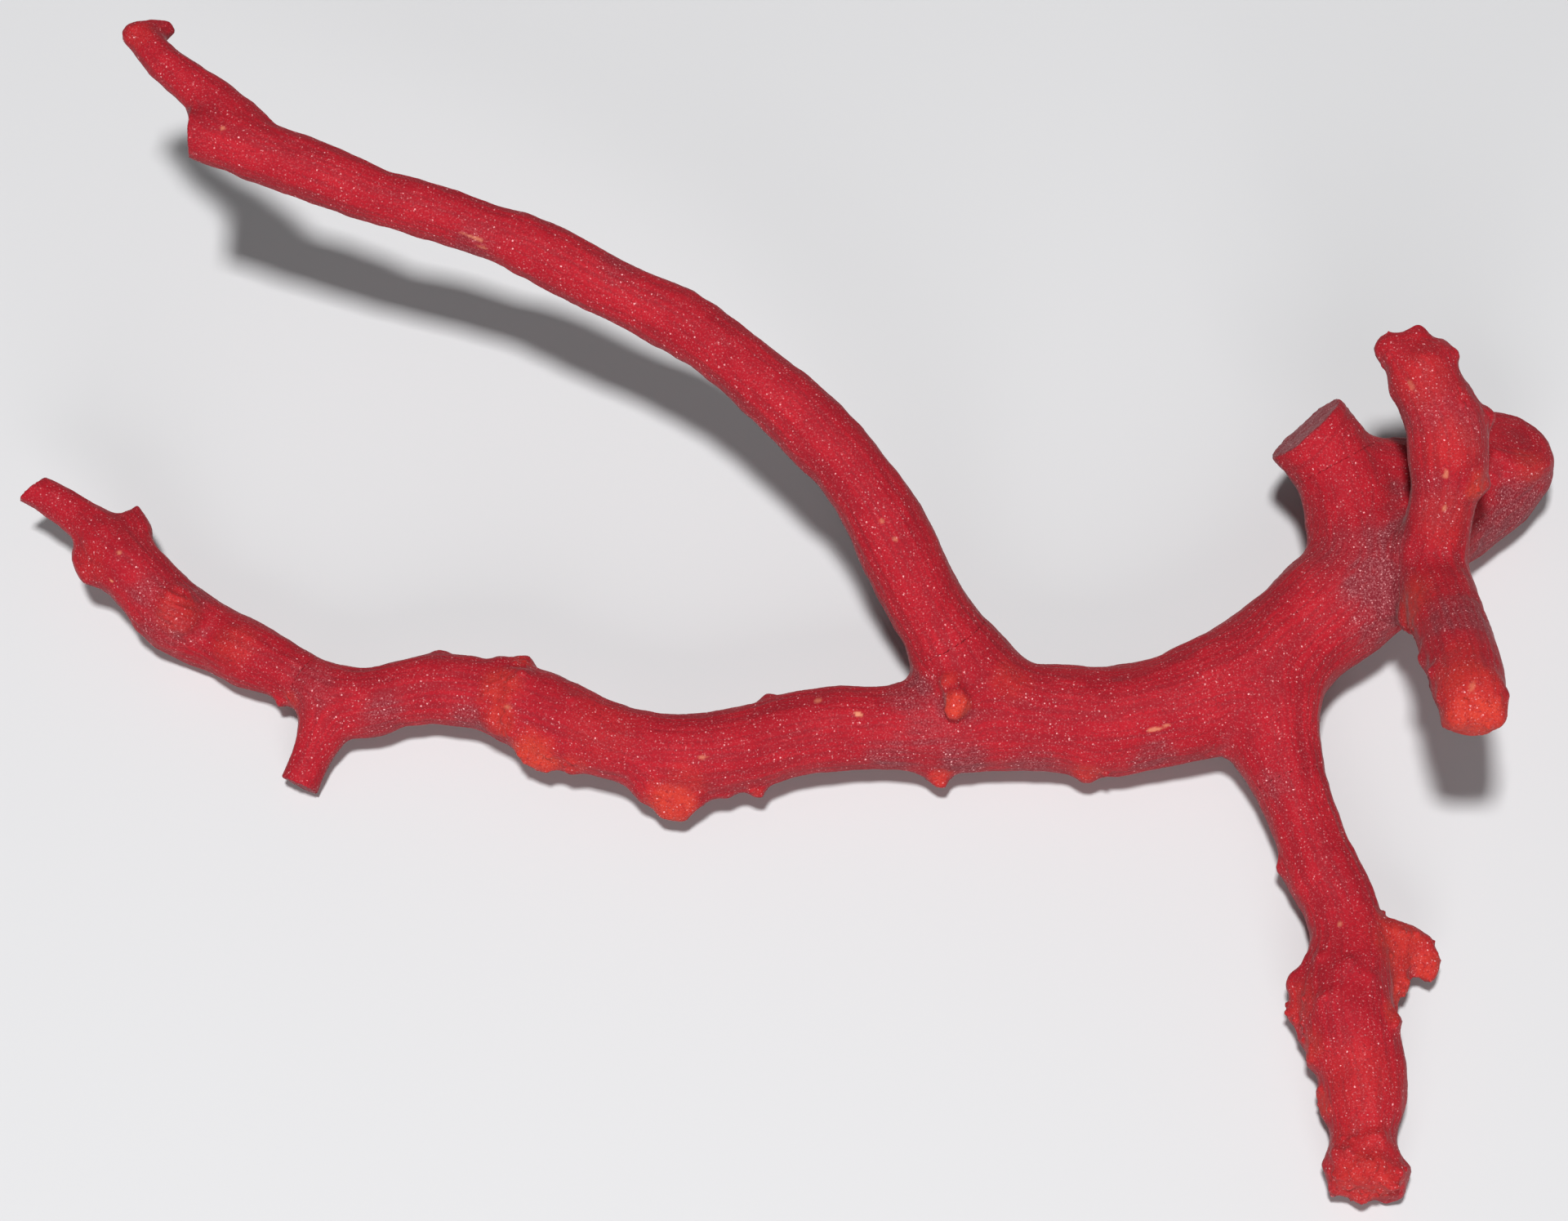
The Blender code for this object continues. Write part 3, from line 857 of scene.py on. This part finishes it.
def grow_skin(skin, crust, material):
    """The whole twig's skin as one mesh, with its relief and with what its finish needs."""
    body, ends = grown_body(skin.closing)
    tree = tree_of(body)
    places = places_of(body)
    set_attribute(body, "crumbly", crust_shares(places, tree)[0])
    runs = LimbRuns(places, normals_of(body))
    mesh = fused(with_crumbs(body, crust, material), skin.voxel)
    move_to(mesh, relaxed(mesh, SKIN_SMOOTHING))
    hollow = hollows(mesh)
    places, normals = places_of(mesh), normals_of(mesh)
    crumbly, orange = crust_shares(places, tree)
    broken = sum(end.share(places, normals) for end in ends)
    crumbly = np.maximum(crumbly, BREAK_CRUMBLY * broken)
    pleats = pleat_heights(places, tree)
    grooves = drawn_out(places, runs, skin.groove_width) * (1 - broken) + pleats / PLEAT_HEIGHT
    dusty = np.maximum(dust_share(places, tree), BREAK_DUST * broken)
    set_attribute(mesh, "orange", orange)
    # The groove field also paints shade into the grooves and the pleats.
    set_attribute(mesh, "groove", grooves)
    # Dust in patches and on broken ends, painted shade on the sides, and both in the hollows.
    set_attribute(mesh, "dust", dust_and_shade_depth(normals, hollow, dusty, orange, grooves))
    set_attribute(mesh, "fleck", fleck_share(places, tree, runs))
    height = relief(places, skin, crumbly, orange, grooves, pleats)
    places = places + normals * height[:, None]
    places[:, 2] = np.maximum(places[:, 2], 0)
    move_to(mesh, places)
    return mesh


def nearest_limbs(mesh):
    """For each face of the skin, the number of the solid that it lies on."""
    corners, triangles, owners = [], [], []
    for number, name in enumerate(LIMBS):
        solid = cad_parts[name].data
        start = len(corners)
        corners += [vert.co.copy() for vert in solid.vertices]
        triangles += [[start + index for index in face.vertices] for face in solid.polygons]
        owners += [number] * len(solid.polygons)
    tree = BVHTree.FromPolygons(corners, triangles)
    return np.array([owners[tree.find_nearest(face.center)[2]] for face in mesh.polygons])


def limb_mesh(name, skin, quads, own):
    """One limb's share of the skin as a closed mesh that is shaded as the whole skin is.

    It reaches one row of faces under its neighbours' skin, tucked in, so that no crack shows between them.
    """
    inside = np.zeros(len(skin.vertices), bool)
    inside[quads[own]] = True
    faces = quads[inside[quads].any(axis=1)]
    used, index = np.unique(faces, return_inverse=True)
    normals = normals_of(skin)[used]
    places = places_of(skin)[used] - normals * TUCK * ~inside[used][:, None]
    mesh = bpy.data.meshes.new(name)
    mesh.from_pydata(places, [], index.reshape(faces.shape).tolist())
    bm = bmesh.new()
    bm.from_mesh(mesh)
    caps = bmesh.ops.holes_fill(bm, edges=[edge for edge in bm.edges if edge.is_boundary], sides=0)["faces"]
    bmesh.ops.triangulate(bm, faces=caps)
    if any(not edge.is_manifold for edge in bm.edges):
        raise RuntimeError(f"{name} isn't closed")
    bm.to_mesh(mesh)
    bm.free()
    for attribute in ("orange", "groove", "dust", "fleck"):
        set_attribute(mesh, attribute, attribute_of(skin, attribute)[used])
    mesh.shade_smooth()
    mesh.normals_split_custom_set_from_vertices(normals)
    return mesh


class Finish:
    """A material under construction, with short ways to add its nodes."""

    # Where the mix node takes its share and its two colours, and where it gives the mixed one
    SHARE, FIRST, SECOND, MIXED = 0, 6, 7, 2

    def __init__(self, name):
        self.material = bpy.data.materials.new(name)
        self.material.use_nodes = True
        self.tree = self.material.node_tree
        self.shader = self.tree.nodes["Principled BSDF"]
        self.where = self.add("ShaderNodeTexCoord").outputs["Object"]

    def add(self, kind, **settings):
        """A node with its settings."""
        node = self.tree.nodes.new(kind)
        for name, value in settings.items():
            setattr(node, name, value)
        return node

    def feed(self, socket, value):
        """Gives a socket a number, a colour or another node's output."""
        if isinstance(value, bpy.types.NodeSocket):
            self.tree.links.new(value, socket)
        else:
            socket.default_value = value

    def noise(self, size, detail=2.0):
        """A noise node of a size in metres."""
        node = self.add("ShaderNodeTexNoise")
        self.feed(node.inputs["Vector"], self.where)
        self.feed(node.inputs["Scale"], 1 / size)
        self.feed(node.inputs["Detail"], detail)
        return node

    def stored(self, name):
        """What the mesh stores under a name."""
        return self.add("ShaderNodeAttribute", attribute_name=name).outputs["Fac"]

    def ranged(self, value, low, high, to_low=0.0, to_high=1.0):
        """A value moved from one range to another, and kept inside it."""
        node = self.add("ShaderNodeMapRange")
        for socket, number in zip(node.inputs, (value, low, high, to_low, to_high)):
            self.feed(socket, number)
        return node.outputs["Result"]

    def clouds(self, size, detail, low, high, to_low, to_high):
        """Cloudy noise moved from one range to another."""
        return self.ranged(self.noise(size, detail).outputs["Fac"], low, high, to_low, to_high)

    def maths(self, operation, first, second):
        """Two values worked together."""
        node = self.add("ShaderNodeMath", operation=operation)
        self.feed(node.inputs[0], first)
        self.feed(node.inputs[1], second)
        return node.outputs[0]

    def mixed(self, share, first, second):
        """A colour between two."""
        node = self.add("ShaderNodeMix", data_type="RGBA")
        self.feed(node.inputs[self.SHARE], share)
        self.feed(node.inputs[self.FIRST], first)
        self.feed(node.inputs[self.SECOND], second)
        return node.outputs[self.MIXED]

    def grains(self, spacing, reach, chance, extra):
        """Small irregular spots, by their spacing, their size as a share of it, how many show, and where."""
        shaken = self.add("ShaderNodeVectorMath", operation="MULTIPLY_ADD")
        shake = spacing / SHAKES_PER_SPACING
        self.feed(shaken.inputs[0], self.noise(shake).outputs["Color"])
        self.feed(shaken.inputs[1], (shake,) * 3)
        self.feed(shaken.inputs[2], self.where)
        cells = self.add("ShaderNodeTexVoronoi")
        self.feed(cells.inputs["Vector"], shaken.outputs["Vector"])
        self.feed(cells.inputs["Scale"], 1 / spacing)
        split = self.add("ShaderNodeSeparateColor")
        self.feed(split.inputs["Color"], cells.outputs["Color"])
        spot = self.ranged(cells.outputs["Distance"], reach, GRAIN_CORE * reach)
        luck = self.maths("ADD", split.outputs["Red"], self.maths("MULTIPLY", extra, GRAINS_IN_DUST_AND_SHADE))
        return self.maths("MULTIPLY", spot, self.ranged(luck, 1 - chance, 1.0))


def red_under_dust_and_shade(finish, colours):
    """The clouded red with painted shade in its grooves and with dust and painted shade over it, and how
    thick the dust and painted shade lie.
    """
    colour = finish.mixed(finish.clouds(*PALE_CLOUDS), tuple(colours.red), tuple(colours.pale_red))
    # Painted shade in the grooves and the pleats.
    groove = finish.ranged(finish.stored("groove"), *GROOVE_SHADE)
    colour = finish.mixed(groove, colour, tuple(colours.groove))
    # Mauve dust, and painted shade on the sides and in the hollows.
    streaked = finish.maths("MULTIPLY", finish.stored("dust"), finish.clouds(*DUST_AND_SHADE_STREAKS))
    dust = finish.maths("MINIMUM", streaked, DUST_AND_SHADE_MOST)
    powder = finish.mixed(finish.clouds(*DUST_AND_SHADE_POWDER), tuple(colours.dust), tuple(colours.pale_dust_and_shade))
    return finish.mixed(dust, colour, powder), dust


def set_surface(finish):
    """Gives the coral its roughness, shine, sheen and fine bumps."""
    finish.feed(finish.shader.inputs["Roughness"], finish.clouds(*ROUGHNESS))
    finish.shader.inputs["Specular IOR Level"].default_value = SHINE
    finish.shader.inputs["Sheen Weight"].default_value = SHEEN
    finish.shader.inputs["Sheen Roughness"].default_value = SHEEN_ROUGHNESS
    bump = finish.add("ShaderNodeBump")
    bump.inputs["Strength"].default_value = BUMP_STRENGTH
    bump.inputs["Distance"].default_value = BUMP_HEIGHT
    finish.feed(bump.inputs["Height"], finish.noise(BUMP_SIZE, BUMP_DETAIL).outputs["Fac"])
    finish.feed(finish.shader.inputs["Normal"], bump.outputs["Normal"])


def coral_material(colours):
    """Matt red coral: clouded red, painted shade in grooves and pits, mauve dust and painted shade, orange
    crust, pale grains and flecks, with a little painted light on the front arm's top.
    """
    finish = Finish(MATERIAL_NAME)
    colour, dust = red_under_dust_and_shade(finish, colours)
    orange = finish.maths("MULTIPLY", finish.stored("orange"), finish.clouds(*ORANGE_BLOTCHES))
    colour = finish.mixed(orange, colour, tuple(colours.orange))
    colour = finish.mixed(finish.clouds(*PALE_SPECKLE), colour, tuple(colours.grain))
    # Painted shade of tiny pits, in the groove shade's darker red.
    colour = finish.mixed(finish.clouds(*PAINTED_PIT_SHADE), colour, tuple(colours.groove))
    for grains, share in ((SMALL_GRAINS, SMALL_GRAIN_SHARE), (BRIGHT_GRAINS, BRIGHT_GRAIN_SHARE)):
        spots = finish.maths("MULTIPLY", finish.grains(*grains, dust), share)
        colour = finish.mixed(spots, colour, tuple(colours.grain))
    colour = finish.mixed(finish.stored("fleck"), colour, tuple(colours.fleck))
    finish.feed(finish.shader.inputs["Base Color"], colour)
    set_surface(finish)
    return finish.material


def floor_material(colour):
    """A plain pale matt floor."""
    finish = Finish("pale_floor")
    finish.shader.inputs["Base Color"].default_value = colour
    finish.shader.inputs["Roughness"].default_value = FLOOR_ROUGHNESS
    finish.shader.inputs["Specular IOR Level"].default_value = FLOOR_SHINE
    return finish.material


def make_floor(studio):
    """A wide floor just under the twig."""
    signs = ((-1, -1), (1, -1), (1, 1), (-1, 1))
    corners = [(x * FLOOR_HALF, y * FLOOR_HALF, -FLOOR_DEPTH) for x, y in signs]
    mesh = bpy.data.meshes.new("floor")
    mesh.from_pydata(corners, [], [(0, 1, 2, 3)])
    mesh.materials.append(floor_material(studio.floor))
    floor = bpy.data.objects.new("floor", mesh)
    bpy.context.scene.collection.objects.link(floor)


def make_light(name, way, distance, size, power):
    """A soft square light that faces the twig."""
    lamp = bpy.data.lights.new(name, "AREA")
    lamp.energy = power
    lamp.size = size
    light = bpy.data.objects.new(name, lamp)
    bpy.context.scene.collection.objects.link(light)
    light.location = way.normalized() * distance
    light.rotation_euler = way.to_track_quat("Z", "Y").to_euler()


def make_fill(studio):
    """Even light from all round."""
    world = bpy.data.worlds.new("studio")
    world.use_nodes = True
    world.node_tree.nodes["Background"].inputs["Strength"].default_value = studio.fill
    world.node_tree.nodes["Background"].inputs["Color"].default_value = FILL_COLOUR
    bpy.context.scene.world = world


def make_camera():
    """The camera at the picture's own viewpoint."""
    data = bpy.data.cameras.new("camera")
    data.sensor_width = SENSOR_WIDTH_MM
    data.lens = SENSOR_WIDTH_MM * LENS_DISTANCE / (PICTURE_WIDTH_PX / PIXELS_PER_MM * MM)
    data.clip_start = NEAREST_SHOWN
    camera = bpy.data.objects.new("camera", data)
    bpy.context.scene.collection.objects.link(camera)
    camera.location = lens_place()
    camera.rotation_euler = lens_axes()[0].to_track_quat("-Z", "Y").to_euler()
    bpy.context.scene.camera = camera


class CORAL_OT_skin(bpy.types.Operator):
    """Grows one skin over all the solids, with its grooves, swells and crust"""

    bl_idname = "coral.skin"
    bl_label = "Grow the skin"

    def execute(self, context):
        scene = context.scene
        material = coral_material(scene.coral_colours)
        mesh = grow_skin(scene.coral_skin, scene.coral_crust, material)
        if not mesh.polygons:
            raise RuntimeError("the skin came out empty")
        mesh.name = SKIN_NAME
        return {"FINISHED"}


class CORAL_OT_limbs(bpy.types.Operator):
    """Parts the skin at the forks, so that each limb stands for its own solid"""

    bl_idname = "coral.limbs"
    bl_label = "Part the limbs"

    def execute(self, context):
        skin = bpy.data.meshes[SKIN_NAME]
        owners = nearest_limbs(skin)
        quads = np.empty(len(skin.polygons) * 4, np.int32)
        skin.polygons.foreach_get("vertices", quads)
        quads = quads.reshape(-1, 4)
        for number, name in enumerate(LIMBS):
            mesh = limb_mesh(f"coral_{name}", skin, quads, owners == number)
            mesh.materials.append(bpy.data.materials[MATERIAL_NAME])
            piece = bpy.data.objects.new(mesh.name, mesh)
            context.scene.collection.objects.link(piece)
            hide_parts(name)
            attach(piece, "root")
        bpy.data.meshes.remove(skin)
        return {"FINISHED"}


class CORAL_OT_stage(bpy.types.Operator):
    """Sets up the floor, the lights and the camera"""

    bl_idname = "coral.stage"
    bl_label = "Set up the studio"

    def execute(self, context):
        studio = context.scene.coral_studio
        make_floor(studio)
        make_light("key", KEY_WAY, studio.key_distance, studio.key_size, studio.key_power)
        make_light("front", FRONT_WAY, studio.front_distance, studio.front_size, studio.front_power)
        make_fill(studio)
        make_camera()
        context.scene.view_settings.view_transform = "Standard"
        return {"FINISHED"}


class CORAL_PT_twig(bpy.types.Panel):
    """The twig's sizes, colours and steps"""

    bl_label = "Red Coral Twig"
    bl_idname = "CORAL_PT_twig"
    bl_space_type = "VIEW_3D"
    bl_region_type = "UI"
    bl_category = "Coral"

    def draw(self, context):
        for group, kind in GROUPS.items():
            box = self.layout.box()
            for name in kind.__annotations__:
                box.prop(getattr(context.scene, group), name)
        for operator in OPERATORS:
            self.layout.operator(operator.bl_idname)


GROUPS = {
    "coral_skin": TwigSkin,
    "coral_crust": TwigCrust,
    "coral_colours": TwigColours,
    "coral_studio": TwigStudio,
}
OPERATORS = (CORAL_OT_skin, CORAL_OT_limbs, CORAL_OT_stage)


def register():
    for kind in (*GROUPS.values(), *OPERATORS, CORAL_PT_twig):
        bpy.utils.register_class(kind)
    for name, kind in GROUPS.items():
        setattr(bpy.types.Scene, name, PointerProperty(type=kind))


def unregister():
    for name in GROUPS:
        delattr(bpy.types.Scene, name)
    for kind in (CORAL_PT_twig, *reversed(OPERATORS), *GROUPS.values()):
        bpy.utils.unregister_class(kind)


def main():
    register()
    bpy.ops.coral.skin()
    bpy.ops.coral.limbs()
    bpy.ops.coral.stage()


if __name__ == "__main__":
    main()
